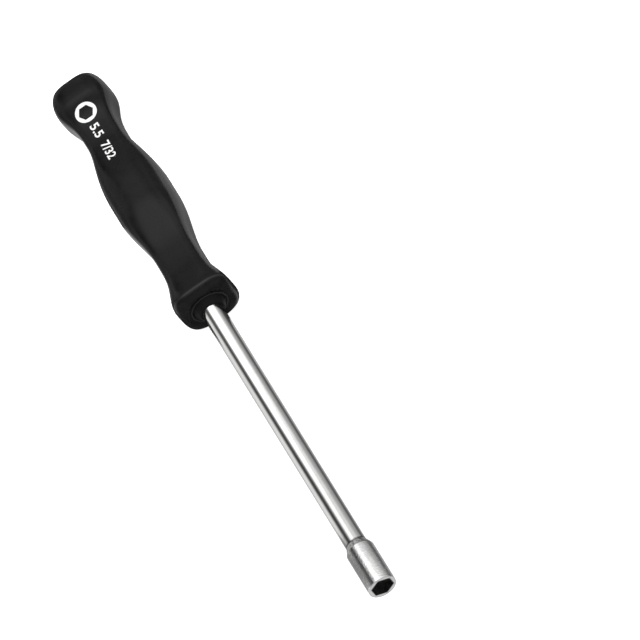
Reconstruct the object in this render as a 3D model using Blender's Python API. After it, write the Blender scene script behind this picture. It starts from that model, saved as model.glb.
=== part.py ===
"""Carburettor adjusting driver: a black two-shot handle on a plated steel shaft with a hexagon socket.

Metres, +Z up. The tool lies along X, pommel at -X and socket mouth at +X, with its underside on Z = 0.
Each ring of points below is a cross-section across the tool's axis, and each sub-part is a loft of rings.
"""

import math

import bmesh
import bpy
from mathutils import Vector

# Handle lengths, in order along the axis from the pommel's end face
POMMEL_SWELL_LENGTH = 0.0074
POMMEL_TAPER_LENGTH = 0.0135
BELLY_RISE_LENGTH = 0.0191
BELLY_CREST_LENGTH = 0.0058
BELLY_FALL_LENGTH = 0.0176
NOSE_FLARE_LENGTH = 0.0161
NOSE_DOME_LENGTH = 0.0027

# How early the width changes within each of those lengths: above 0 at first, below 0 at the end
POMMEL_TAPER_LEAD = 0.90
BELLY_RISE_LEAD = 0.25
BELLY_FALL_LEAD = 0.13
NOSE_FLARE_LEAD = -0.95

# Handle widths across opposite sides; the front neck and the nose follow from what they enclose
POMMEL_WIDTH = 0.0156
REAR_NECK_WIDTH = 0.0106
BELLY_WIDTH = 0.0167
NOSE_FLANGE = 0.00291

# Powers of the sections' curves: 2 is a circle, and a higher power is squarer
POMMEL_POWER = 3.6
REAR_NECK_POWER = 5.8
BELLY_POWER = 2.8
FRONT_NECK_POWER = 5.7
NOSE_POWER = 3.6

# Half the turn that the flat along each of the handle's four sides takes up in a section, and how far
# the moulding has sunk in the middle of the flat at the nose
SIDE_FLAT_TURN = math.radians(14)
NOSE_SINK = 0.00005

# Roundings of the handle's two ends; a higher rounding power keeps the nose square for longer
POMMEL_ROUND_LENGTH = 0.0069
POMMEL_ROUND_DEPTH = 0.0041
NOSE_EDGE_ANGLE = math.radians(8)
NOSE_LIP = 0.00087
NOSE_ROUNDING = 3.4

# Walls of the outer grip
GRIP_WALL = 0.0012
POMMEL_WALL = 0.0018
NOSE_WALL = 0.0020

# Core: its wall round the shaft at the front neck, and the boss on its nose
CORE_NECK_WALL = 0.0010
BOSS_WALL = 0.00215
BOSS_SET_BACK = 0.00045
BOSS_EDGE = 0.0003
BOSS_CONE_LENGTH = 0.00175
BOSS_TIP_WALL = 0.0005

# Steel shaft, with a tang swaged flat in two crossed places inside the belly
SHAFT_DIAMETER = 0.0060
SHAFT_EXPOSED_LENGTH = 0.0860
TANG_TAIL_LENGTH = 0.0040
TANG_WING_LENGTH = 0.0060
TANG_WING_RAMP = 0.0020
TANG_WING_SPACING = 0.0030
TANG_WING_WIDTH = 0.0084
TANG_CHAMFER = 0.0005
SPIGOT_LENGTH = 0.0062
SPIGOT_CHAMFER = 0.0004

# Hexagon socket on the shaft's front end; its wall is measured at the hexagon's corners
HEX_ACROSS_FLATS = 0.0057
HEX_DEPTH = 0.0090
HEX_LEAD_IN = 0.00015
HEX_FLOOR_LEDGE = 0.0003
SOCKET_WALL = 0.00071
SOCKET_SHOULDER_LENGTH = 0.0023
SOCKET_RIM_CHAMFER = 0.0003

# Clearances: between moulded or sliding fits, and across the brazed butt joint
FIT_GAP = 0.0003
BRAZE_GAP = 0.00005

# Fineness of the lofts
QUARTER_POINTS = 9
HANDLE_STEP = 0.0017
ROUND_STEPS = 6
LIP_STEPS = 3
SOCKET_SEGMENTS = 48
SMOOTH_LIMIT = math.radians(35)

# Turn between the points of a round ring, one of which lies on the middle of each side
EVEN_TURN = math.pi / (2 * (QUARTER_POINTS + 1))

# Sizes that follow from what goes inside
FRONT_NECK_WIDTH = SHAFT_DIAMETER + 2 * (FIT_GAP + CORE_NECK_WALL + FIT_GAP + GRIP_WALL)
BOSS_DIAMETER = SHAFT_DIAMETER + 2 * (FIT_GAP + BOSS_WALL)
NOSE_WIDTH = BOSS_DIAMETER + 2 * NOSE_FLANGE
SPIGOT_DIAMETER = HEX_ACROSS_FLATS - 2 * (HEX_FLOOR_LEDGE + FIT_GAP)
SOCKET_DIAMETER = 2 * (HEX_ACROSS_FLATS / math.sqrt(3) + SOCKET_WALL)
TANG_WINGS_LENGTH = 2 * (TANG_WING_LENGTH + 2 * TANG_WING_RAMP) + TANG_WING_SPACING

# Stations along the tool, from the pommel's end face
POMMEL_CREST_AT = POMMEL_SWELL_LENGTH
REAR_NECK_AT = POMMEL_CREST_AT + POMMEL_TAPER_LENGTH
BELLY_START_AT = REAR_NECK_AT + BELLY_RISE_LENGTH
BELLY_END_AT = BELLY_START_AT + BELLY_CREST_LENGTH
FRONT_NECK_AT = BELLY_END_AT + BELLY_FALL_LENGTH
NOSE_EDGE_AT = FRONT_NECK_AT + NOSE_FLARE_LENGTH
DOME_END_AT = NOSE_EDGE_AT + NOSE_DOME_LENGTH
BOSS_EDGE_AT = DOME_END_AT - BOSS_SET_BACK
BOSS_TIP_AT = BOSS_EDGE_AT + BOSS_CONE_LENGTH
SHOULDER_AT = BOSS_TIP_AT + SHAFT_EXPOSED_LENGTH
SPIGOT_END_AT = SHOULDER_AT + SPIGOT_LENGTH
HEX_FLOOR_AT = SPIGOT_END_AT + FIT_GAP
TIP_AT = HEX_FLOOR_AT + HEX_DEPTH
TANG_WINGS_AT = (BELLY_START_AT + BELLY_END_AT - TANG_WINGS_LENGTH) / 2
TANG_END_AT = TANG_WINGS_AT - TANG_TAIL_LENGTH

# Stations: place, width across opposite sides, power, sink of the flats, lead of the length that ends there
STATIONS = (
    (0.0, POMMEL_WIDTH, POMMEL_POWER, 0.0, 0.0),
    (POMMEL_CREST_AT, POMMEL_WIDTH, POMMEL_POWER, 0.0, 0.0),
    (REAR_NECK_AT, REAR_NECK_WIDTH, REAR_NECK_POWER, 0.0, POMMEL_TAPER_LEAD),
    (BELLY_START_AT, BELLY_WIDTH, BELLY_POWER, 0.0, BELLY_RISE_LEAD),
    (BELLY_END_AT, BELLY_WIDTH, BELLY_POWER, 0.0, 0.0),
    (FRONT_NECK_AT, FRONT_NECK_WIDTH, FRONT_NECK_POWER, 0.0, BELLY_FALL_LEAD),
    (NOSE_EDGE_AT, NOSE_WIDTH, NOSE_POWER, NOSE_SINK, NOSE_FLARE_LEAD),
)
AXIS_HEIGHT = max(station[1] for station in STATIONS) / 2


def handle_size(x):
    """Half the width, the power and the sink of the handle's outside at x."""
    width, power, sink = STATIONS[-1][1:4]
    for (x0, w0, p0, s0, _), (x1, w1, p1, s1, lead) in zip(STATIONS, STATIONS[1:]):
        if x <= x1:
            share = (x - x0) / (x1 - x0)
            share += lead * share * (1 - share)
            eased = share * share * (3 - 2 * share)
            width = w0 + (w1 - w0) * eased
            power = p0 + (p1 - p0) * eased
            sink = s0 + (s1 - s0) * eased
            break
    return width / 2, power, sink


def pommel_inset(x):
    """How far the pommel's round edge lies inside the full section at x."""
    share = max(1 - x / POMMEL_ROUND_LENGTH, 0.0)
    return POMMEL_ROUND_DEPTH * (1 - math.sqrt(1 - share * share))


def spaced(start, end, count):
    """Evenly spaced values that cut start to end into count lengths, both ends included."""
    return [start + (end - start) * index / count for index in range(count + 1)]


def oval_ring(x, half_y, half_z, power=2.0, flatness=0.0, sink=0.0):
    """An oval ring at x, squarer at a higher power; at flatness 1 each of its four sides has a full flat."""
    edge = EVEN_TURN + (SIDE_FLAT_TURN - EVEN_TURN) * flatness
    scale = 1 + (1 / math.cos(edge) - 1) * flatness
    ring = []
    for quarter in range(4):
        middle = quarter * math.pi / 2
        across = round(math.cos(middle))
        up = round(math.sin(middle))
        ring.append(Vector((x, (half_y - sink) * across, (half_z - sink) * up)))
        for turn in spaced(middle + edge, middle + math.pi / 2 - edge, QUARTER_POINTS - 1):
            across = scale * math.cos(turn)
            up = scale * math.sin(turn)
            y = half_y * math.copysign(abs(across) ** (2 / power), across)
            z = half_z * math.copysign(abs(up) ** (2 / power), up)
            ring.append(Vector((x, y, z)))
    return ring


def round_ring(x, radius):
    return oval_ring(x, radius, radius)


def handle_ring(x, inset):
    """The handle's section at x, moved in by inset all round."""
    half_width, power, sink = handle_size(x)
    half_width -= inset + pommel_inset(x)
    return oval_ring(x, half_width, half_width, power, 1.0, sink)


def socket_ring(x, radius):
    """A round ring at x on the socket's number of points."""
    turns = [2 * math.pi * index / SOCKET_SEGMENTS for index in range(SOCKET_SEGMENTS)]
    return [Vector((x, radius * math.cos(turn), radius * math.sin(turn))) for turn in turns]


def hex_ring(x, half_flats):
    """A hexagon ring at x with a corner at the top, on the socket's number of points."""
    ring = []
    for index in range(SOCKET_SEGMENTS):
        turn = 2 * math.pi * index / SOCKET_SEGMENTS
        from_flat = (turn + math.pi / 6) % (math.pi / 3) - math.pi / 6
        reach = half_flats / math.cos(from_flat)
        ring.append(Vector((x, reach * math.cos(turn), reach * math.sin(turn))))
    return ring


def handle_places(start, end):
    """Places along the handle from start to end, with one at each of its stations."""
    marks = [start] + [station[0] for station in STATIONS if start < station[0] < end] + [end]
    places = [start]
    for first, last in zip(marks, marks[1:]):
        places += spaced(first, last, max(round((last - first) / HANDLE_STEP), 1))[1:]
    return places


def loft(name, rings, material, parent, ring_shaped=False):
    """A closed solid through the rings, with end caps, or joined end to end into a ring."""
    mesh = bmesh.new()
    loops = [[mesh.verts.new(point) for point in ring] for ring in rings]
    following = loops[1:] + loops[:1] if ring_shaped else loops[1:]
    for first, second in zip(loops, following):
        for index in range(len(first)):
            after = (index + 1) % len(first)
            mesh.faces.new((first[index], first[after], second[after], second[index]))
    if not ring_shaped:
        mesh.faces.new(loops[0])
        mesh.faces.new(loops[-1])
    bmesh.ops.recalc_face_normals(mesh, faces=mesh.faces)
    data = bpy.data.meshes.new(name)
    mesh.to_mesh(data)
    mesh.free()
    data.shade_smooth()
    data.set_sharp_from_angle(angle=SMOOTH_LIMIT)
    data.materials.append(material)
    part = bpy.data.objects.new(name, data)
    part.parent = parent
    bpy.context.scene.collection.objects.link(part)
    return part


def plain_material(name, colour, roughness, metallic):
    material = bpy.data.materials.new(name)
    material.use_nodes = True
    shader = material.node_tree.nodes["Principled BSDF"]
    shader.inputs["Base Color"].default_value = (*colour, 1.0)
    shader.inputs["Roughness"].default_value = roughness
    shader.inputs["Metallic"].default_value = metallic
    return material


def dome_rings(start_angle, end_radius):
    """The nose's front, an arc that turns in from the nose edge and grows round towards the boss."""
    half_width, power, sink = handle_size(NOSE_EDGE_AT)
    drop = half_width - end_radius
    chord_angle = math.atan2(drop, NOSE_DOME_LENGTH)
    end_angle = 2 * chord_angle - start_angle
    radius = math.hypot(drop, NOSE_DOME_LENGTH) / (2 * math.sin((end_angle - start_angle) / 2))
    rings = []
    for step in range(1, ROUND_STEPS + 1):
        share = step / ROUND_STEPS
        angle = start_angle + (end_angle - start_angle) * share
        x = NOSE_EDGE_AT + radius * (math.sin(angle) - math.sin(start_angle))
        reach = half_width - radius * (math.cos(start_angle) - math.cos(angle))
        squareness = 1 - share ** NOSE_ROUNDING
        rings.append(oval_ring(x, reach, reach, 2 + (power - 2) * squareness, squareness, sink * squareness))
    return rings


def make_grip(parent):
    """The outer grip: a thin moulded shell, open at the nose where the core's boss comes through."""
    opening = BOSS_DIAMETER / 2 + FIT_GAP
    cavity_front = DOME_END_AT - NOSE_WALL
    round_places = spaced(0.0, POMMEL_ROUND_LENGTH, ROUND_STEPS)
    rings = [handle_ring(x * x / POMMEL_ROUND_LENGTH, 0.0) for x in round_places]
    rings += [handle_ring(x, 0.0) for x in handle_places(POMMEL_ROUND_LENGTH, NOSE_EDGE_AT)[1:]]
    rings += dome_rings(NOSE_EDGE_ANGLE, opening + NOSE_LIP)
    for step in range(1, LIP_STEPS + 1):
        angle = math.pi / 2 * step / LIP_STEPS
        lip_x = DOME_END_AT - NOSE_LIP * (1 - math.cos(angle))
        rings.append(round_ring(lip_x, opening + NOSE_LIP * (1 - math.sin(angle))))
    rings.append(round_ring(cavity_front, opening))
    cavity_places = handle_places(POMMEL_WALL, cavity_front)
    rings += [handle_ring(x, GRIP_WALL) for x in reversed(cavity_places)]
    plastic = plain_material("grip_plastic", (0.016, 0.016, 0.017), 0.5, 0.0)
    return loft("handle_grip", rings, plastic, parent)


def tang_rings(start, end, growth):
    """The shaft's round and swaged sections from start to end, made larger by growth all round."""
    radius = SHAFT_DIAMETER / 2
    wide = TANG_WING_WIDTH / 2
    thin = radius * radius / wide
    x = TANG_WINGS_AT
    rings = [round_ring(start, radius + growth)]
    for half_y, half_z in ((wide, thin), (thin, wide)):
        rings.append(round_ring(x, radius + growth))
        x += TANG_WING_RAMP
        rings.append(oval_ring(x, half_y + growth, half_z + growth))
        x += TANG_WING_LENGTH
        rings.append(oval_ring(x, half_y + growth, half_z + growth))
        x += TANG_WING_RAMP
        rings.append(round_ring(x, radius + growth))
        x += TANG_WING_SPACING
    rings.append(round_ring(end, radius + growth))
    return rings


def make_core(parent):
    """The hard inner core: it fills the grip, holds the tang and ends in the boss round the shaft."""
    inset = GRIP_WALL + FIT_GAP
    boss = BOSS_DIAMETER / 2
    shoulder = DOME_END_AT - NOSE_WALL - FIT_GAP
    hole = SHAFT_DIAMETER / 2 + FIT_GAP
    rings = [handle_ring(x, inset) for x in handle_places(POMMEL_WALL + FIT_GAP, shoulder)]
    rings.append(round_ring(shoulder, boss))
    rings.append(round_ring(BOSS_EDGE_AT - BOSS_EDGE, boss))
    rings.append(round_ring(BOSS_EDGE_AT, boss - BOSS_EDGE))
    rings.append(round_ring(BOSS_TIP_AT, hole + BOSS_TIP_WALL))
    rings += reversed(tang_rings(TANG_END_AT - FIT_GAP, BOSS_TIP_AT, FIT_GAP))
    plastic = plain_material("core_plastic", (0.013, 0.013, 0.014), 0.42, 0.0)
    return loft("handle_core", rings, plastic, parent)


def make_shaft(parent):
    """The steel shaft, from the tang's tail inside the core to the spigot inside the socket."""
    plated = plain_material("plated_shaft", (0.72, 0.71, 0.69), 0.16, 1.0)
    radius = SHAFT_DIAMETER / 2
    spigot = SPIGOT_DIAMETER / 2
    rings = [round_ring(TANG_END_AT, radius - TANG_CHAMFER)]
    rings += tang_rings(TANG_END_AT + TANG_CHAMFER, SHOULDER_AT, 0.0)
    rings.append(round_ring(SHOULDER_AT, spigot))
    rings.append(round_ring(SPIGOT_END_AT - SPIGOT_CHAMFER, spigot))
    rings.append(round_ring(SPIGOT_END_AT, spigot - SPIGOT_CHAMFER))
    return loft("shaft", rings, plated, parent)


def make_socket(parent):
    """The socket sleeve: bored at the back for the spigot, and broached to a hexagon at the front."""
    plated = plain_material("plated_socket", (0.72, 0.71, 0.69), 0.22, 1.0)
    outside = SOCKET_DIAMETER / 2
    bore = SPIGOT_DIAMETER / 2 + FIT_GAP
    half_flats = HEX_ACROSS_FLATS / 2
    back = SHOULDER_AT + BRAZE_GAP
    rings = [
        socket_ring(back, bore),
        socket_ring(back, SHAFT_DIAMETER / 2),
        socket_ring(back + SOCKET_SHOULDER_LENGTH, outside),
        socket_ring(TIP_AT - SOCKET_RIM_CHAMFER, outside),
        socket_ring(TIP_AT, outside - SOCKET_RIM_CHAMFER),
        hex_ring(TIP_AT, half_flats + HEX_LEAD_IN),
        hex_ring(TIP_AT - HEX_LEAD_IN, half_flats),
        hex_ring(HEX_FLOOR_AT, half_flats),
        socket_ring(HEX_FLOOR_AT, bore),
    ]
    return loft("hex_socket", rings, plated, parent, ring_shaped=True)


def main():
    for old in list(bpy.data.objects):
        bpy.data.objects.remove(old)
    axis = bpy.data.objects.new("tool_axis", None)
    axis.location = (-TIP_AT / 2, 0.0, AXIS_HEIGHT)
    bpy.context.scene.collection.objects.link(axis)
    make_grip(axis)
    make_core(axis)
    make_shaft(axis)
    make_socket(axis)


main()
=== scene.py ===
"""Looks for the adjusting driver: smooth surfaces, materials, printed marks, light, floor and camera.

Metres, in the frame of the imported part. Stations are measured from the pommel's end face along the
tool, and each piece is a loft of cross-section rings on the tool's axis.
"""

import math

import bmesh
import bpy
from mathutils import Matrix, Vector


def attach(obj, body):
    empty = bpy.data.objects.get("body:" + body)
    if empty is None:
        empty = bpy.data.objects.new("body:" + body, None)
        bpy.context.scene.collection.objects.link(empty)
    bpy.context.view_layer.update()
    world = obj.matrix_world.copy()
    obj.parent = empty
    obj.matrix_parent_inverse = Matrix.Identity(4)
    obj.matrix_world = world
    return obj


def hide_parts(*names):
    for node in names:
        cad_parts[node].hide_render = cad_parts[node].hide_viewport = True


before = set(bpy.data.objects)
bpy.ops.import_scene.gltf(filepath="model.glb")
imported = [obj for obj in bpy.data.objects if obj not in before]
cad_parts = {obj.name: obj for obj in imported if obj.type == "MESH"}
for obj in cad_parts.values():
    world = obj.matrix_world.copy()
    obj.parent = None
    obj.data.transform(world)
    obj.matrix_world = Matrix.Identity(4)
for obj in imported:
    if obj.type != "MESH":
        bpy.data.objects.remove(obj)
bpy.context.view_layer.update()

# Stations along the tool
POMMEL_CREST_AT = 0.0074
REAR_NECK_AT = 0.0209
BELLY_START_AT = 0.0400
BELLY_END_AT = 0.0458
FRONT_NECK_AT = 0.0634
NOSE_EDGE_AT = 0.0795
DOME_END_AT = 0.0822
BOSS_EDGE_AT = 0.08175
BOSS_TIP_AT = 0.0835
SHOULDER_AT = 0.1695
SPIGOT_END_AT = 0.1757
HEX_FLOOR_AT = 0.1760
TIP_AT = 0.1850

# Handle sections: place, width, power (2 is round, higher is squarer), and how far the change from the
# section before runs early
STATIONS = (
    (0.0, 0.0156, 3.6, 0.0),
    (POMMEL_CREST_AT, 0.0156, 3.6, 0.0),
    (REAR_NECK_AT, 0.0106, 5.8, 0.90),
    (BELLY_START_AT, 0.0167, 2.8, 0.25),
    (BELLY_END_AT, 0.0167, 2.8, 0.0),
    (FRONT_NECK_AT, 0.0116, 5.7, 0.13),
    (NOSE_EDGE_AT, 0.01672, 3.6, -0.95),
)
POMMEL_ROUND_LENGTH = 0.0069
POMMEL_ROUND_DEPTH = 0.0041
NOSE_EDGE_ANGLE = math.radians(8)
NOSE_LIP = 0.00087
NOSE_ROUNDING = 3.4
GRIP_WALL = 0.0012
POMMEL_WALL = 0.0018
NOSE_WALL = 0.0020
FIT_GAP = 0.0003
BOSS_GAP = 0.00002

# The hollow round the boss: where the bend into its floor starts, out from the boss and ahead of the
# floor, and how far out from the boss that bend has its corner
HOLLOW_WIDTH = 0.0006
HOLLOW_RISE = 0.0001
HOLLOW_CORNER = 0.0002

# The boss, with a bead on its edge and a groove inside the bead
BOSS_RADIUS = 0.00545
BOSS_EDGE = 0.0003
BEAD_MIDDLE = 0.8 * BOSS_EDGE
GROOVE_BEND = 1.5 * BOSS_EDGE
GROOVE_INSIDE = 2 * BOSS_EDGE
BOSS_GROOVE = 0.00015
BOSS_STEP = 0.0002
BOSS_TIP_WALL = 0.0005
BOSS_TIP_ROUND = 0.75 * BOSS_EDGE

SHAFT_RADIUS = 0.0030
TANG_END_AT = 0.0274
TANG_WINGS_AT = 0.0314
TANG_WING_LENGTH = 0.0060
TANG_WING_RAMP = 0.0020
TANG_WING_SPACING = 0.0030
TANG_WING_HALF = 0.0042
TANG_CHAMFER = 0.0005
SPIGOT_RADIUS = 0.00225
SPIGOT_CHAMFER = 0.0004

HEX_HALF_FLATS = 0.00285
HEX_LEAD_IN = 0.00015
HEX_CORNER_WALL = 0.00071
SOCKET_RADIUS = HEX_HALF_FLATS * 2 / math.sqrt(3) + HEX_CORNER_WALL
SOCKET_SHOULDER_LENGTH = 0.0023
SOCKET_SHOULDER_EASE = 0.0002
SOCKET_RIM_ROUND = 0.0003
BRAZE_GAP = 0.00005

AXIS_HEIGHT = 0.00836
AXIS = Vector((-TIP_AT / 2, 0.0, AXIS_HEIGHT))

# Fineness of the lofts
RING_POINTS = 120
METAL_POINTS = 96
HANDLE_STEP = 0.0005
INNER_STEP = 4 * HANDLE_STEP
STEP_SLACK = 1e-6
POMMEL_STEPS = 16
DOME_STEPS = 24
LIP_RINGS = 4
LIP_STEPS = 8
BEAD_STEPS = 6
BOSS_TIP_STEPS = 5
SHOULDER_STEPS = 8
RIM_STEPS = 6
SMOOTH_LIMIT = math.radians(32)


def handle_size(x):
    """Half the width and the power of the handle's outside at x."""
    width, power = STATIONS[-1][1:3]
    for (x0, w0, p0, _), (x1, w1, p1, lead) in zip(STATIONS, STATIONS[1:]):
        if x <= x1:
            share = (x - x0) / (x1 - x0)
            share += lead * share * (1 - share)
            eased = share * share * (3 - 2 * share)
            width = w0 + (w1 - w0) * eased
            power = p0 + (p1 - p0) * eased
            break
    return width / 2, power


def pommel_inset(x):
    """How far the pommel's round edge lies inside the full section at x."""
    share = max(1 - x / POMMEL_ROUND_LENGTH, 0.0)
    return POMMEL_ROUND_DEPTH * (1 - math.sqrt(1 - share * share))


def oval_ring(x, half_y, half_z, power=2.0):
    """An oval ring at x, squarer at a higher power."""
    ring = []
    for index in range(RING_POINTS):
        turn = 2 * math.pi * (index + 0.5) / RING_POINTS
        across = math.cos(turn)
        up = math.sin(turn)
        y = half_y * math.copysign(abs(across) ** (2 / power), across)
        z = half_z * math.copysign(abs(up) ** (2 / power), up)
        ring.append(Vector((x, y, z)))
    return ring


def round_ring(x, radius):
    return oval_ring(x, radius, radius)


def handle_ring(x, inset):
    """The handle's section at x, moved in by inset all round."""
    half_width, power = handle_size(x)
    half_width -= inset + pommel_inset(x)
    return oval_ring(x, half_width, half_width, power)


def hexagon_reach(turn, half_flats):
    """The distance from a hexagon's middle to its outline in the direction of turn."""
    from_flat = (turn + math.pi / 6) % (math.pi / 3) - math.pi / 6
    return half_flats / math.cos(from_flat)


def socket_ring(x, radius):
    """A round ring at x on the socket's number of points."""
    turns = [2 * math.pi * index / METAL_POINTS for index in range(METAL_POINTS)]
    return [Vector((x, radius * math.cos(turn), radius * math.sin(turn))) for turn in turns]


def hex_ring(x, half_flats):
    """A hexagon ring at x with a corner at the top."""
    ring = []
    for index in range(METAL_POINTS):
        turn = 2 * math.pi * index / METAL_POINTS
        reach = hexagon_reach(turn, half_flats)
        ring.append(Vector((x, reach * math.cos(turn), reach * math.sin(turn))))
    return ring


def spaced(start, end, step):
    """Even places from start to end, at most a step apart."""
    count = max(math.ceil((end - start) / step - STEP_SLACK), 1)
    return [start + (end - start) * index / count for index in range(count + 1)]


def bend(before, corner, after, steps):
    """Points on a smooth bend that starts at before, heads for the corner and ends at after."""
    points = []
    for step in range(steps + 1):
        u = step / steps
        v = 1 - u
        ends = zip(before, corner, after)
        points.append(tuple(v * v * a + 2 * u * v * b + u * u * c for a, b, c in ends))
    return points


def bridge(mesh, first, second):
    """Quads between two closed loops of vertices."""
    for index in range(len(first)):
        after = (index + 1) % len(first)
        mesh.faces.new((first[index], first[after], second[after], second[index]))


def to_object(name, mesh, material):
    """An object in the scene with smooth faces, from a mesh that is freed."""
    bmesh.ops.recalc_face_normals(mesh, faces=mesh.faces)
    data = bpy.data.meshes.new(name)
    mesh.to_mesh(data)
    mesh.free()
    data.shade_smooth()
    data.set_sharp_from_angle(angle=SMOOTH_LIMIT)
    data.materials.append(material)
    made = bpy.data.objects.new(name, data)
    bpy.context.scene.collection.objects.link(made)
    return made


def piece(name, rings, material, node, ring_shaped=False):
    """A closed smooth solid through the rings that stands for a CAD node."""
    mesh = bmesh.new()
    loops = [[mesh.verts.new(AXIS + point) for point in ring] for ring in rings]
    following = loops[1:] + loops[:1] if ring_shaped else loops[1:]
    for first, second in zip(loops, following):
        bridge(mesh, first, second)
    if not ring_shaped:
        mesh.faces.new(loops[0])
        mesh.faces.new(loops[-1])
    made = to_object(name, mesh, material)
    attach(made, "root")
    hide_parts(node)


def dome_profile(end_radius):
    """The nose's front as (x, reach, roundness) from the nose edge to the boss."""
    half_width = handle_size(NOSE_EDGE_AT)[0]
    length = DOME_END_AT - NOSE_EDGE_AT
    drop = half_width - end_radius
    end_angle = 2 * math.atan2(drop, length) - NOSE_EDGE_ANGLE
    radius = math.hypot(drop, length) / (2 * math.sin((end_angle - NOSE_EDGE_ANGLE) / 2))
    profile = []
    for step in range(DOME_STEPS + 1):
        share = step / DOME_STEPS
        angle = NOSE_EDGE_ANGLE + (end_angle - NOSE_EDGE_ANGLE) * share
        x = NOSE_EDGE_AT + radius * (math.sin(angle) - math.sin(NOSE_EDGE_ANGLE))
        reach = half_width - radius * (math.cos(NOSE_EDGE_ANGLE) - math.cos(angle))
        profile.append((x, reach, share))
    return profile


def dome_rings():
    """Rings of the nose's front: the dome, then a hollow that dips to the boss."""
    power = handle_size(NOSE_EDGE_AT)[1]
    profile = dome_profile(BOSS_RADIUS + FIT_GAP + NOSE_LIP)
    floor = BOSS_EDGE_AT - BOSS_STEP
    slope_end = (floor + HOLLOW_RISE, BOSS_RADIUS + HOLLOW_WIDTH, 1.0)
    floor_corner = (floor, BOSS_RADIUS + HOLLOW_CORNER, 1.0)
    floor_end = (floor, BOSS_RADIUS + BOSS_GAP, 1.0)
    lip = bend(profile[-LIP_RINGS], profile[-1], slope_end, LIP_STEPS)
    lip += bend(lip[-1], floor_corner, floor_end, LIP_STEPS)[1:]
    rings = []
    for x, reach, share in profile[:-LIP_RINGS] + lip:
        rings.append(oval_ring(x, reach, reach, power + (2 - power) * share ** NOSE_ROUNDING))
    return rings


def make_grip(material):
    """The outer grip, open at the nose where the core's boss comes through."""
    cavity_front = DOME_END_AT - NOSE_WALL
    angles = [math.pi / 2 * (1 - step / POMMEL_STEPS) for step in range(POMMEL_STEPS + 1)]
    rings = [handle_ring(POMMEL_ROUND_LENGTH * (1 - math.sin(angle)), 0.0) for angle in angles]
    body = spaced(POMMEL_ROUND_LENGTH, NOSE_EDGE_AT, HANDLE_STEP)[:-1]
    rings += [handle_ring(x, 0.0) for x in body[1:]]
    rings += dome_rings()
    rings.append(round_ring(cavity_front, BOSS_RADIUS + BOSS_GAP))
    cavity = spaced(POMMEL_WALL, cavity_front, INNER_STEP)
    rings += [handle_ring(x, GRIP_WALL) for x in reversed(cavity)]
    piece("grip", rings, material, "handle_grip")


def tang_rings(start, end, growth):
    """The shaft's round and swaged sections from start to end, made larger by growth all round."""
    thin = SHAFT_RADIUS * SHAFT_RADIUS / TANG_WING_HALF
    x = TANG_WINGS_AT
    rings = [round_ring(start, SHAFT_RADIUS + growth)]
    for half_y, half_z in ((TANG_WING_HALF, thin), (thin, TANG_WING_HALF)):
        rings.append(round_ring(x, SHAFT_RADIUS + growth))
        x += TANG_WING_RAMP
        rings.append(oval_ring(x, half_y + growth, half_z + growth))
        x += TANG_WING_LENGTH
        rings.append(oval_ring(x, half_y + growth, half_z + growth))
        x += TANG_WING_RAMP
        rings.append(round_ring(x, SHAFT_RADIUS + growth))
        x += TANG_WING_SPACING
    rings.append(round_ring(end, SHAFT_RADIUS + growth))
    return rings


def make_core(material):
    """The inner core, with the beaded boss that stands round the shaft's root."""
    shoulder = DOME_END_AT - NOSE_WALL - FIT_GAP
    hole = SHAFT_RADIUS + BOSS_GAP
    core_places = spaced(POMMEL_WALL + FIT_GAP, shoulder, INNER_STEP)
    rings = [handle_ring(x, GRIP_WALL + FIT_GAP) for x in core_places]
    rings.append(round_ring(shoulder, BOSS_RADIUS))
    bead = bend(
        (BOSS_EDGE_AT - BOSS_STEP, BOSS_RADIUS),
        (BOSS_EDGE_AT, BOSS_RADIUS),
        (BOSS_EDGE_AT, BOSS_RADIUS - BOSS_EDGE),
        BEAD_STEPS,
    )
    bead += bend(
        (BOSS_EDGE_AT, BOSS_RADIUS - BOSS_EDGE),
        (BOSS_EDGE_AT, BOSS_RADIUS - GROOVE_BEND),
        (BOSS_EDGE_AT - BOSS_GROOVE, BOSS_RADIUS - GROOVE_INSIDE),
        BEAD_STEPS,
    )[1:]
    tip = bend(
        (BOSS_TIP_AT - BOSS_EDGE, hole + BOSS_TIP_WALL + BOSS_TIP_ROUND),
        (BOSS_TIP_AT, hole + BOSS_TIP_WALL),
        (BOSS_TIP_AT, hole),
        BOSS_TIP_STEPS,
    )
    rings += [round_ring(x, radius) for x, radius in bead + tip[:-1]]
    rings += reversed(tang_rings(TANG_END_AT - FIT_GAP, BOSS_TIP_AT, BOSS_GAP))
    piece("core", rings, material, "handle_core")


def make_shaft(material):
    """The steel shaft with its tang and its spigot."""
    rings = [round_ring(TANG_END_AT, SHAFT_RADIUS - TANG_CHAMFER)]
    rings += tang_rings(TANG_END_AT + TANG_CHAMFER, SHOULDER_AT, 0.0)
    rings.append(round_ring(SHOULDER_AT, SPIGOT_RADIUS))
    rings.append(round_ring(SPIGOT_END_AT - SPIGOT_CHAMFER, SPIGOT_RADIUS))
    rings.append(round_ring(SPIGOT_END_AT, SPIGOT_RADIUS - SPIGOT_CHAMFER))
    piece("driver_shaft", rings, material, "shaft")


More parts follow.
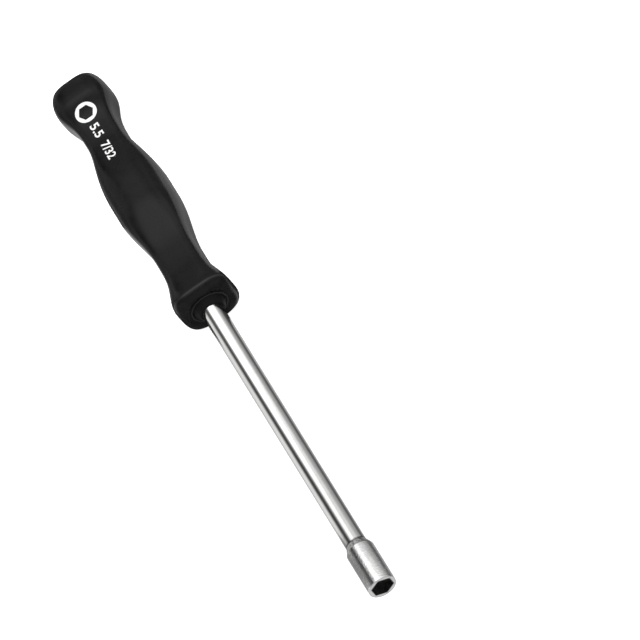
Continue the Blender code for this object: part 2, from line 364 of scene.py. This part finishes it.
def make_socket(material):
    """The socket sleeve, with a rounded shoulder and rim and a broached hexagon."""
    back = SHOULDER_AT + BRAZE_GAP
    bore = SPIGOT_RADIUS + FIT_GAP
    full_at = back + SOCKET_SHOULDER_LENGTH
    slope = (SOCKET_RADIUS - SHAFT_RADIUS) / SOCKET_SHOULDER_LENGTH
    shoulder = bend(
        (full_at - SOCKET_SHOULDER_EASE, SOCKET_RADIUS - SOCKET_SHOULDER_EASE * slope),
        (full_at, SOCKET_RADIUS),
        (full_at + SOCKET_SHOULDER_EASE, SOCKET_RADIUS),
        SHOULDER_STEPS,
    )
    rim = bend(
        (TIP_AT - SOCKET_RIM_ROUND, SOCKET_RADIUS),
        (TIP_AT, SOCKET_RADIUS),
        (TIP_AT, SOCKET_RADIUS - SOCKET_RIM_ROUND),
        RIM_STEPS,
    )
    profile = [(back, bore), (back, SHAFT_RADIUS)] + shoulder + rim
    rings = [socket_ring(x, radius) for x, radius in profile]
    rings.append(hex_ring(TIP_AT, HEX_HALF_FLATS + HEX_LEAD_IN))
    rings.append(hex_ring(TIP_AT - HEX_LEAD_IN, HEX_HALF_FLATS))
    rings.append(hex_ring(HEX_FLOOR_AT, HEX_HALF_FLATS))
    rings.append(socket_ring(HEX_FLOOR_AT, bore))
    piece("socket", rings, material, "hex_socket", ring_shaped=True)


# Shader nodes

WHITE = (1.0, 1.0, 1.0, 1.0)
BLACK = (0.0, 0.0, 0.0, 1.0)


def new_material(name):
    material = bpy.data.materials.new(name)
    material.use_nodes = True
    tree = material.node_tree
    return material, tree, tree.nodes["Principled BSDF"]


def add_node(tree, kind, inputs=None, **settings):
    """A node whose inputs are linked where they are sockets and set where they are values."""
    made = tree.nodes.new(kind)
    for key, value in settings.items():
        setattr(made, key, value)
    for key, value in (inputs or {}).items():
        if isinstance(value, bpy.types.NodeSocket):
            tree.links.new(value, made.inputs[key])
        else:
            made.inputs[key].default_value = value
    return made


def object_place(tree):
    return add_node(tree, "ShaderNodeTexCoord").outputs["Object"]


def split(tree, vector):
    """The X, Y and Z outputs of a vector."""
    return add_node(tree, "ShaderNodeSeparateXYZ", {"Vector": vector}).outputs


def noise(tree, where, scale, detail=4.0, roughness=0.5):
    inputs = {"Vector": where, "Scale": scale, "Detail": detail, "Roughness": roughness}
    return add_node(tree, "ShaderNodeTexNoise", inputs).outputs["Fac"]


def ranged(tree, value, low, high, start=0.3, end=0.7):
    """The value, moved from the range start to end, which suits a noise, into the range low to high."""
    inputs = {"Value": value, "From Min": start, "From Max": end, "To Min": low, "To Max": high}
    return add_node(tree, "ShaderNodeMapRange", inputs).outputs["Result"]


def blended(tree, factor, first, second):
    """The first colour where the factor is 0, and the second where it is 1."""
    made = add_node(tree, "ShaderNodeMix", data_type="RGBA")
    tree.links.new(factor, made.inputs["Factor"])
    for key, value in (("A", first), ("B", second)):
        socket = next(s for s in made.inputs if s.name == key and s.type == "RGBA")
        if isinstance(value, bpy.types.NodeSocket):
            tree.links.new(value, socket)
        else:
            socket.default_value = (*value, 1.0)
    return next(s for s in made.outputs if s.type == "RGBA")


def bumped(tree, height, strength, distance):
    inputs = {"Height": height, "Strength": strength, "Distance": distance}
    return add_node(tree, "ShaderNodeBump", inputs).outputs["Normal"]


def calculated(tree, operation, first, second=0.0):
    return add_node(tree, "ShaderNodeMath", {0: first, 1: second}, operation=operation).outputs[0]


def distance_from(tree, value, place):
    return calculated(tree, "ABSOLUTE", calculated(tree, "SUBTRACT", value, place))


# Masks for wear, dirt and painted highlights

# Where the wear of a long edge starts and is full, by a ratio that is 0.5 on the section's diagonals
EDGE_WEAR = (0.40, 0.50)
# The same by distance from the axis, which keeps the wear off the pommel's end face
EDGE_WEAR_REACH = (0.0052, 0.0062)
# How far ahead of the nose edge its painted highlight line lies
NOSE_HIGHLIGHT_AHEAD = 0.0001
# Distances from a painted highlight line or a dirty line at which its mask starts to fall and has ended
NOSE_HIGHLIGHT_FALL = (0.0001, 0.0004)
BEAD_HIGHLIGHT_FALL = (0.0001, 0.0003)
JOINT_GRIME = (0.0001, 0.0005)


def off_axis(tree, where):
    """The shaded place's distances from the tool's axis: sideways, upwards and their sum of squares."""
    parts = split(tree, where)
    aside = parts["Y"]
    above = calculated(tree, "SUBTRACT", parts["Z"], AXIS_HEIGHT)
    squares = calculated(tree, "MULTIPLY", aside, aside)
    squares = calculated(tree, "ADD", squares, calculated(tree, "MULTIPLY", above, above))
    return aside, above, squares


def long_edges(tree, where):
    """1 along the handle's four long edges, falling to 0 on its flats and its end face."""
    aside, above, squares = off_axis(tree, where)
    product = calculated(tree, "ABSOLUTE", calculated(tree, "MULTIPLY", aside, above))
    edge = ranged(tree, calculated(tree, "DIVIDE", product, squares), 0.0, 1.0, *EDGE_WEAR)
    outside = ranged(tree, calculated(tree, "SQRT", squares), 0.0, 1.0, *EDGE_WEAR_REACH)
    return calculated(tree, "MULTIPLY", edge, outside)


def nose_highlight_line(tree, where):
    """1 along the edge where the handle's sides meet its nose, falling to 0 beside it: the line of a
    painted highlight.
    """
    along = split(tree, where)["X"]
    aside = distance_from(tree, along, AXIS.x + NOSE_EDGE_AT + NOSE_HIGHLIGHT_AHEAD)
    return ranged(tree, aside, 1.0, 0.0, *NOSE_HIGHLIGHT_FALL)


def bead_highlight_line(tree, where):
    """1 along the bead round the boss, falling to 0 beside it: the line of a painted highlight."""
    along = split(tree, where)["X"]
    squares = off_axis(tree, where)[2]
    off_bead = distance_from(tree, calculated(tree, "SQRT", squares), BOSS_RADIUS - BEAD_MIDDLE)
    ring = ranged(tree, off_bead, 1.0, 0.0, *BEAD_HIGHLIGHT_FALL)
    front = calculated(tree, "GREATER_THAN", along, AXIS.x + BOSS_EDGE_AT - BOSS_STEP)
    return calculated(tree, "MULTIPLY", ring, front)


# Materials, with the scales of noises in repeats per metre

PLASTIC_IOR = 1.20
PLASTIC_MOTTLE = 420.0
PLASTIC_GRAIN = 7000.0
PLASTIC_GRAIN_DEPTH = 0.00002
RUBBED_PATCHES = 150.0
RUBBED_SHARE = (0.05, 0.30)
# How much lighter the worn long edges and the painted highlight lines are
WEAR_AND_HIGHLIGHT_LIGHTER = 3.5
WORN_SMOOTHER = 0.07
# The gloss falls off where the surface is seen nearly edge on
GLOSS = (0.5, 0.06)
GLOSS_FALLS = (0.915, 0.985)

PLATE_PATCHES = 260.0
PLATE_DARK = (0.50, 0.498, 0.493)
PLATE_LIGHT = (0.55, 0.548, 0.542)
GRIME_COLOUR = (0.25, 0.245, 0.24)

INK_SPECKLE = 2400.0
INK_DARK = (0.90, 0.90, 0.89)
INK_LIGHT = (0.96, 0.96, 0.95)
INK_ROUGHNESS = (0.42, 0.6)


def plastic(name, dark, light, roughness, grain):
    """Black moulded plastic: faint mottling, a fine grain, edges lightened by wear from the hand, and
    painted highlight lines along the nose edge and round the boss's bead.
    """
    material, tree, shader = new_material(name)
    where = object_place(tree)
    mottle = noise(tree, where, PLASTIC_MOTTLE, detail=5.0, roughness=0.6)
    fine = noise(tree, where, PLASTIC_GRAIN, detail=3.0, roughness=0.55)
    patches = ranged(tree, noise(tree, where, RUBBED_PATCHES), *RUBBED_SHARE)
    wear_and_highlight = calculated(tree, "MULTIPLY", long_edges(tree, where), patches)
    # Painted highlights: light lines along the nose edge and round the boss's bead, added to the real
    # wear of the long edges
    wear_and_highlight = calculated(tree, "MAXIMUM", wear_and_highlight, nose_highlight_line(tree, where))
    wear_and_highlight = calculated(tree, "MAXIMUM", wear_and_highlight, bead_highlight_line(tree, where))
    colour = blended(tree, ranged(tree, mottle, 0.0, 1.0), dark, light)
    wear_and_highlight_colour = tuple(WEAR_AND_HIGHLIGHT_LIGHTER * value for value in light)
    tree.links.new(blended(tree, wear_and_highlight, colour, wear_and_highlight_colour), shader.inputs["Base Color"])
    rough = ranged(tree, mottle, *roughness)
    polish = calculated(tree, "MULTIPLY", wear_and_highlight, WORN_SMOOTHER)
    tree.links.new(calculated(tree, "SUBTRACT", rough, polish), shader.inputs["Roughness"])
    tree.links.new(bumped(tree, fine, grain, PLASTIC_GRAIN_DEPTH), shader.inputs["Normal"])
    shader.inputs["IOR"].default_value = PLASTIC_IOR
    facing = add_node(tree, "ShaderNodeLayerWeight", {"Blend": 0.5}).outputs["Facing"]
    gloss = ranged(tree, facing, *GLOSS, *GLOSS_FALLS)
    tree.links.new(gloss, shader.inputs["Specular IOR Level"])
    return material


def plated(name, roughness, stretch, scale, strength, depth):
    """Bright plating over a finely worked surface, with a dirty line at the joint."""
    material, tree, shader = new_material(name)
    where = object_place(tree)
    stretched = add_node(tree, "ShaderNodeMapping", {"Vector": where, "Scale": stretch})
    marks = noise(tree, stretched.outputs["Vector"], scale, detail=3.0, roughness=0.5)
    patches = noise(tree, where, PLATE_PATCHES, detail=4.0, roughness=0.55)
    colour = blended(tree, ranged(tree, patches, 0.0, 1.0), PLATE_DARK, PLATE_LIGHT)
    from_joint = distance_from(tree, split(tree, where)["X"], AXIS.x + SHOULDER_AT)
    grime = ranged(tree, from_joint, 1.0, 0.0, *JOINT_GRIME)
    tree.links.new(blended(tree, grime, colour, GRIME_COLOUR), shader.inputs["Base Color"])
    tree.links.new(ranged(tree, marks, *roughness), shader.inputs["Roughness"])
    tree.links.new(bumped(tree, marks, strength, depth), shader.inputs["Normal"])
    shader.inputs["Metallic"].default_value = 1.0
    return material


def ink(name):
    """White printing ink with a faint speckle."""
    material, tree, shader = new_material(name)
    speckle = noise(tree, object_place(tree), INK_SPECKLE, detail=4.0, roughness=0.6)
    colour = blended(tree, ranged(tree, speckle, 0.0, 1.0), INK_DARK, INK_LIGHT)
    tree.links.new(colour, shader.inputs["Base Color"])
    tree.links.new(ranged(tree, speckle, *INK_ROUGHNESS), shader.inputs["Roughness"])
    return material


# Printed marks on the handle's upper flat
MARK_AT = 0.01266
MARK_OFF = -0.00027
MARK_HALF_LENGTH = 0.0026
MARK_HALF_WIDTH = 0.00303
MARK_HEX_SHARE = 0.63
MARK_POINTS = 96
MARK_BANDS = 4
INK_ABOVE = 0.00002
INK_BELOW = 0.00006
NUMBERS = "5.5  7/32"
NUMBERS_START = 0.0165
NUMBERS_LENGTH = 0.0134
NUMBERS_HEIGHT = 0.0026
NUMBERS_OFF = -0.00035

# The numbers as text, in the text's own units
NUMBERS_BOLD = 0.02
NUMBERS_HALF_DEPTH = 0.5
NUMBERS_MERGE = 1e-4
NUMBERS_FINENESS = 6


def on_top(x, y, lift):
    """The place above the handle's crowned upper side at station x and offset y."""
    half_width, power = handle_size(x)
    crown = half_width * (1 - (abs(y) / half_width) ** power) ** (1 / power)
    return AXIS + Vector((x, y, crown + lift))


def make_drive_mark(material):
    """A ring with a hexagon hole, the common sign for a hexagon drive, printed on the flat."""
    mesh = bmesh.new()
    layers = []
    for lift in (INK_ABOVE, -INK_BELOW):
        loops = []
        for band in range(MARK_BANDS + 1):
            loop = []
            for index in range(MARK_POINTS):
                turn = 2 * math.pi * index / MARK_POINTS
                hexagon = hexagon_reach(turn, MARK_HEX_SHARE)
                reach = 1 + (hexagon - 1) * band / MARK_BANDS
                x = MARK_AT + MARK_HALF_LENGTH * reach * math.cos(turn)
                y = MARK_OFF + MARK_HALF_WIDTH * reach * math.sin(turn)
                loop.append(mesh.verts.new(on_top(x, y, lift)))
            loops.append(loop)
        layers.append(loops)
    upper, lower = layers
    strips = list(zip(upper, upper[1:])) + list(zip(lower, lower[1:]))
    strips += [(upper[0], lower[0]), (upper[-1], lower[-1])]
    for first, second in strips:
        bridge(mesh, first, second)
    mark = to_object("drive_mark", mesh, material)
    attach(mark, "root")


def text_mesh():
    """The numbers as a closed mesh, in the text's own units."""
    curve = bpy.data.curves.new("size_numbers", "FONT")
    curve.body = NUMBERS
    curve.extrude = NUMBERS_HALF_DEPTH
    curve.offset = NUMBERS_BOLD
    curve.resolution_u = NUMBERS_FINENESS
    text = bpy.data.objects.new("size_numbers_text", curve)
    bpy.context.scene.collection.objects.link(text)
    shaped = text.evaluated_get(bpy.context.evaluated_depsgraph_get())
    data = bpy.data.meshes.new_from_object(shaped)
    bpy.data.objects.remove(text)
    bpy.data.curves.remove(curve)
    mesh = bmesh.new()
    mesh.from_mesh(data)
    bpy.data.meshes.remove(data)
    bmesh.ops.remove_doubles(mesh, verts=mesh.verts, dist=NUMBERS_MERGE)
    return mesh


def make_size_numbers(material):
    """Plain size numbers printed along the flat."""
    mesh = text_mesh()
    left = min(vert.co.x for vert in mesh.verts)
    right = max(vert.co.x for vert in mesh.verts)
    low = min(vert.co.y for vert in mesh.verts)
    high = max(vert.co.y for vert in mesh.verts)
    for vert in mesh.verts:
        x = NUMBERS_START + NUMBERS_LENGTH * (vert.co.x - left) / (right - left)
        y = NUMBERS_OFF + NUMBERS_HEIGHT * ((vert.co.y - low) / (high - low) - 0.5)
        vert.co = on_top(x, y, INK_ABOVE if vert.co.z > 0 else -INK_BELOW)
    numbers = to_object("size_numbers", mesh, material)
    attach(numbers, "root")


# Camera, from the tool's direction and place in the photograph's frame
TILT = math.radians(34.5)
ROLL = math.radians(5.7)
AXIS_RIGHT = 0.52668
AXIS_DOWN = 0.85006
FRAME_WIDTH = 0.16623
AIM_AT = 0.10350
AIM_ASIDE = 0.02255
LENS = 1600.0
SENSOR = 36.0
FARTHEST = 60.0


def make_camera():
    """A long lens that looks at the tool from the photograph's side."""
    flat = math.cos(TILT)
    toward = Vector((math.sin(TILT), flat * math.sin(ROLL), flat * math.cos(ROLL)))
    along = (Vector((1, 0, 0)) - toward * toward.x).normalized()
    across = Vector((0, math.cos(ROLL), -math.sin(ROLL)))
    right = AXIS_RIGHT * along + AXIS_DOWN * across
    up = AXIS_RIGHT * across - AXIS_DOWN * along
    data = bpy.data.cameras.new("camera")
    data.lens = LENS
    data.sensor_width = SENSOR
    data.clip_end = FARTHEST
    camera = bpy.data.objects.new("camera", data)
    distance = FRAME_WIDTH * LENS / SENSOR
    aim = AXIS + Vector((AIM_AT, 0, 0)) + AIM_ASIDE * across
    turn = Matrix((right, up, toward)).transposed().to_4x4()
    camera.matrix_world = Matrix.Translation(aim + toward * distance) @ turn
    bpy.context.scene.collection.objects.link(camera)
    bpy.context.scene.camera = camera


# Floor
FLOOR_RADIUS = 2.0
FLOOR_POINTS = 64
FLOOR_COLOUR = (0.9, 0.9, 0.9, 1.0)
FLOOR_ROUGHNESS = 0.9
FLOOR_GLOW = 0.80


def make_floor():
    """A pale floor that shows in no reflection."""
    mesh = bmesh.new()
    bmesh.ops.create_circle(mesh, cap_ends=True, segments=FLOOR_POINTS, radius=FLOOR_RADIUS)
    data = bpy.data.meshes.new("floor")
    mesh.to_mesh(data)
    mesh.free()
    material, _, shader = new_material("floor_white")
    shader.inputs["Base Color"].default_value = FLOOR_COLOUR
    shader.inputs["Roughness"].default_value = FLOOR_ROUGHNESS
    shader.inputs["Specular IOR Level"].default_value = 0.0
    shader.inputs["Emission Color"].default_value = WHITE
    shader.inputs["Emission Strength"].default_value = FLOOR_GLOW
    data.materials.append(material)
    floor = bpy.data.objects.new("floor", data)
    floor.visible_glossy = False
    bpy.context.scene.collection.objects.link(floor)


def lying(height, *places):
    """Corners of a card that lies level at a height, from (x, y) places."""
    return [Vector((x, y, height)) for x, y in places]


def standing(aside, *places):
    """Corners of a card that stands along the tool at a distance aside, from (x, z) places."""
    return [Vector((x, aside, z)) for x, z in places]


# Cards that show only in reflections: name, brightness at the first corner and at the fourth, corners.
# Left and right are the photograph's
CARD_LIFT = 0.0004
LEFT_ASIDE = -0.060
RIGHT_ASIDE = 0.060
CARDS = (
    # This card is painted shade: a dark sheet on the floor under and beside the handle that stands, in
    # the tool's reflections, for the handle's shadow on the floor
    (
        "handle_shadow_card", 0.10, 0.06,
        lying(0.0, (-0.150, -0.020), (-0.010, -0.020), (-0.010, 0.005), (-0.150, 0.005)),
    ),
    (
        "dark_nose_card", 0.06, 0.06,
        lying(
            0.0, (-0.023, 0.005), (-0.011, 0.005), (-0.014, 0.017), (-0.031, 0.032), (-0.042, 0.032)
        ),
    ),
    (
        "light_floor_card", 0.25, 3.2,
        lying(0.0, (-0.135, 0.006), (-0.024, 0.006), (-0.060, 0.062), (-0.175, 0.062)),
    ),
    (
        "light_tip_card", 1.0, 1.0,
        lying(0.0, (0.093, -0.025), (0.130, -0.025), (0.130, 0.025), (0.093, 0.025)),
    ),
    (
        "grey_socket_card", 0.42, 0.32,
        standing(
            LEFT_ASIDE, (0.016, -0.060), (0.046, -0.060), (0.064, 0.010),
            (0.058, 0.050), (0.031, 0.050), (0.037, 0.010),
        ),
    ),
    (
        "dark_edge_card", 0.10, 0.60,
        standing(RIGHT_ASIDE, (-0.170, 0.006), (-0.052, 0.006), (-0.064, 0.060), (-0.170, 0.060)),
    ),
    (
        "dark_left_card", 0.08, 0.08,
        lying(0.0, (-0.060, -0.036), (-0.032, -0.036), (-0.012, -0.020), (-0.045, -0.020)),
    ),
    (
        "light_belly_card", 0.9, 0.9,
        lying(CARD_LIFT, (-0.053, -0.030), (-0.037, -0.030), (-0.037, -0.007), (-0.053, -0.007)),
    ),
    (
        "light_pommel_card", 0.9, 0.9,
        lying(CARD_LIFT, (-0.096, -0.030), (-0.080, -0.030), (-0.080, -0.007), (-0.096, -0.007)),
    ),
    (
        "low_side_card", 0.25, 0.40,
        standing(LEFT_ASIDE, (-0.170, -0.020), (-0.050, -0.020), (-0.058, 0.025), (-0.170, 0.025)),
    ),
    (
        "high_side_card", 0.9, 1.7,
        standing(LEFT_ASIDE, (-0.170, 0.025), (-0.060, 0.025), (-0.098, 0.120), (-0.170, 0.120)),
    ),
)


def make_card(name, first_level, last_level, corners):
    """A flat card that grades from its first corner to its fourth, across or upwards."""
    mesh = bmesh.new()
    mesh.faces.new([mesh.verts.new(corner) for corner in corners])
    data = bpy.data.meshes.new(name)
    mesh.to_mesh(data)
    mesh.free()
    material, tree, shader = new_material(name)
    shader.inputs["Base Color"].default_value = BLACK
    shader.inputs["Specular IOR Level"].default_value = 0.0
    shader.inputs["Emission Color"].default_value = WHITE
    first, last = corners[0], corners[3]
    upward = abs(last.z - first.z) > abs(last.y - first.y)
    place = split(tree, object_place(tree))["Z" if upward else "Y"]
    start, end = (first.z, last.z) if upward else (first.y, last.y)
    level = ranged(tree, place, first_level, last_level, start, end)
    tree.links.new(level, shader.inputs["Emission Strength"])
    data.materials.append(material)
    card = bpy.data.objects.new(name, data)
    card.visible_camera = False
    card.visible_diffuse = False
    card.visible_shadow = False
    bpy.context.scene.collection.objects.link(card)


# Brightness of the light tent by its angle round the tool's axis, in degrees from straight up towards +Y
TENT = (
    (-180, 0.3), (-160, 0.6), (-130, 0.95), (-96, 1.35), (-82, 1.3), (-72, 0.8), (-63, 0.28),
    (-53, 0.08), (-42, 0.07), (-32, 0.22), (-23, 0.75), (-15, 1.65), (-8, 2.1), (7, 2.1),
    (16, 1.55), (26, 1.2), (38, 1.3), (50, 1.0), (62, 0.72), (76, 0.64), (89, 0.42),
    (102, 0.18), (117, 0.14), (131, 0.42), (145, 0.75), (158, 0.9), (170, 0.5), (180, 0.3),
)
# What that brightness is multiplied by, by the direction's part along the tool: -1 is straight behind
# the pommel and 1 straight ahead of the tip
TENT_ALONG = (
    (-1.0, 0.5), (-0.92, 0.5), (-0.76, 0.5), (-0.62, 1.0), (-0.50, 1.0), (-0.30, 1.9),
    (-0.03, 1.9), (0.11, 0.45), (0.28, 0.18), (1.0, 0.18),
)
# What the levels are divided by in the ramps' colours, and multiplied by again after them
TENT_STRENGTH = 2.0

# Light added ahead of the tip, its share from below, and the parts of the direction, along the tool and
# upwards, over which it grows
SKY_AHEAD = 0.8
SKY_BELOW = 0.25
SKY_STARTS = (0.2, 0.5)
SKY_HORIZON = (-0.3, 0.3)


def ramped(tree, share, stops):
    """A value that follows the stops, as a share of the tent's full strength."""
    first, last = stops[0][0], stops[-1][0]
    made = add_node(tree, "ShaderNodeValToRGB", {"Fac": share})
    elements = made.color_ramp.elements
    for place, _ in stops[1:-1]:
        elements.new((place - first) / (last - first))
    for element, (place, level) in zip(elements, stops):
        element.position = (place - first) / (last - first)
        element.color = (level / TENT_STRENGTH,) * 3 + (1.0,)
    return made.outputs["Color"]


def make_world():
    """A light tent in strips along the tool, dimmer ahead, where a plain light is added."""
    world = bpy.data.worlds.new("light_tent")
    world.use_nodes = True
    tree = world.node_tree
    tree.nodes.clear()
    parts = split(tree, add_node(tree, "ShaderNodeTexCoord").outputs["Generated"])
    turn = calculated(tree, "ARCTAN2", parts["Y"], parts["Z"])
    around = ramped(tree, ranged(tree, turn, 0.0, 1.0, -math.pi, math.pi), TENT)
    along = ramped(tree, ranged(tree, parts["X"], 0.0, 1.0, -1.0, 1.0), TENT_ALONG)
    tent = calculated(tree, "MULTIPLY", around, along)
    tent = calculated(tree, "MULTIPLY", tent, TENT_STRENGTH ** 2)
    ahead = ranged(tree, parts["X"], 0.0, SKY_AHEAD, *SKY_STARTS)
    above = ranged(tree, parts["Z"], SKY_BELOW, 1.0, *SKY_HORIZON)
    strength = calculated(tree, "ADD", tent, calculated(tree, "MULTIPLY", ahead, above))
    back = add_node(tree, "ShaderNodeBackground", {"Color": WHITE, "Strength": strength})
    out = add_node(tree, "ShaderNodeOutputWorld")
    tree.links.new(back.outputs[0], out.inputs["Surface"])
    bpy.context.scene.world = world


bpy.context.scene.view_settings.view_transform = "Standard"
grip_plastic = plastic(
    "grip_plastic",
    dark=(0.0035, 0.0035, 0.0037),
    light=(0.006, 0.006, 0.0062),
    roughness=(0.24, 0.32),
    grain=0.25,
)
make_grip(grip_plastic)
core_plastic = plastic(
    "core_plastic",
    dark=(0.004, 0.004, 0.0042),
    light=(0.006, 0.006, 0.0062),
    roughness=(0.45, 0.55),
    grain=0.10,
)
make_core(core_plastic)
shaft_plate = plated(
    "plated_shaft",
    roughness=(0.10, 0.18),
    stretch=(6.0, 1.0, 1.0),
    scale=2200.0,
    strength=0.10,
    depth=0.00003,
)
make_shaft(shaft_plate)
socket_plate = plated(
    "plated_socket",
    roughness=(0.14, 0.24),
    stretch=(1.0, 1.0, 1.0),
    scale=1800.0,
    strength=0.80,
    depth=0.00008,
)
make_socket(socket_plate)
white_ink = ink("mark_ink")
make_drive_mark(white_ink)
make_size_numbers(white_ink)
make_floor()
for card in CARDS:
    make_card(*card)
make_world()
make_camera()
